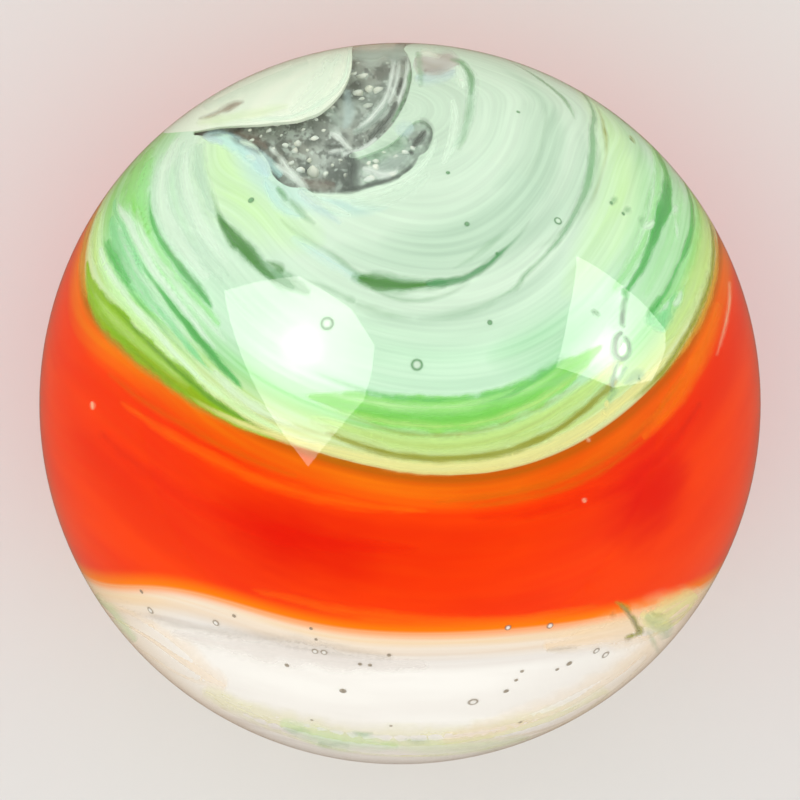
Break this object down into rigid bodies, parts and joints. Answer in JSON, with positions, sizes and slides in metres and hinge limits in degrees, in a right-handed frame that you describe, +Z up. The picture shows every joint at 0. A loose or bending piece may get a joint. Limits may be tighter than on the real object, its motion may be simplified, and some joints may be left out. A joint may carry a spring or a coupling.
{
  "type": "glass marble",
  "caption": "Solid swirled glass toy marble: a true ball with a mint and green swirl, an orange-red band and a white end.",
  "frame": {"origin": "centre of the ball", "axes": "+Z straight up as the marble lies, towards the eye of someone who looks down on it; +Y away from that viewer and +X to their right; the swirl's own axis leans 54 degrees from +Z towards +Y"},
  "size_m": [0.016, 0.016, 0.016],
  "materials": {
    "marble_glass": "polished",
    "clear_glass": "polished"
  },
  "bodies": {
    "root": {"marble": "marble_glass"}
  },
  "joints": []
}
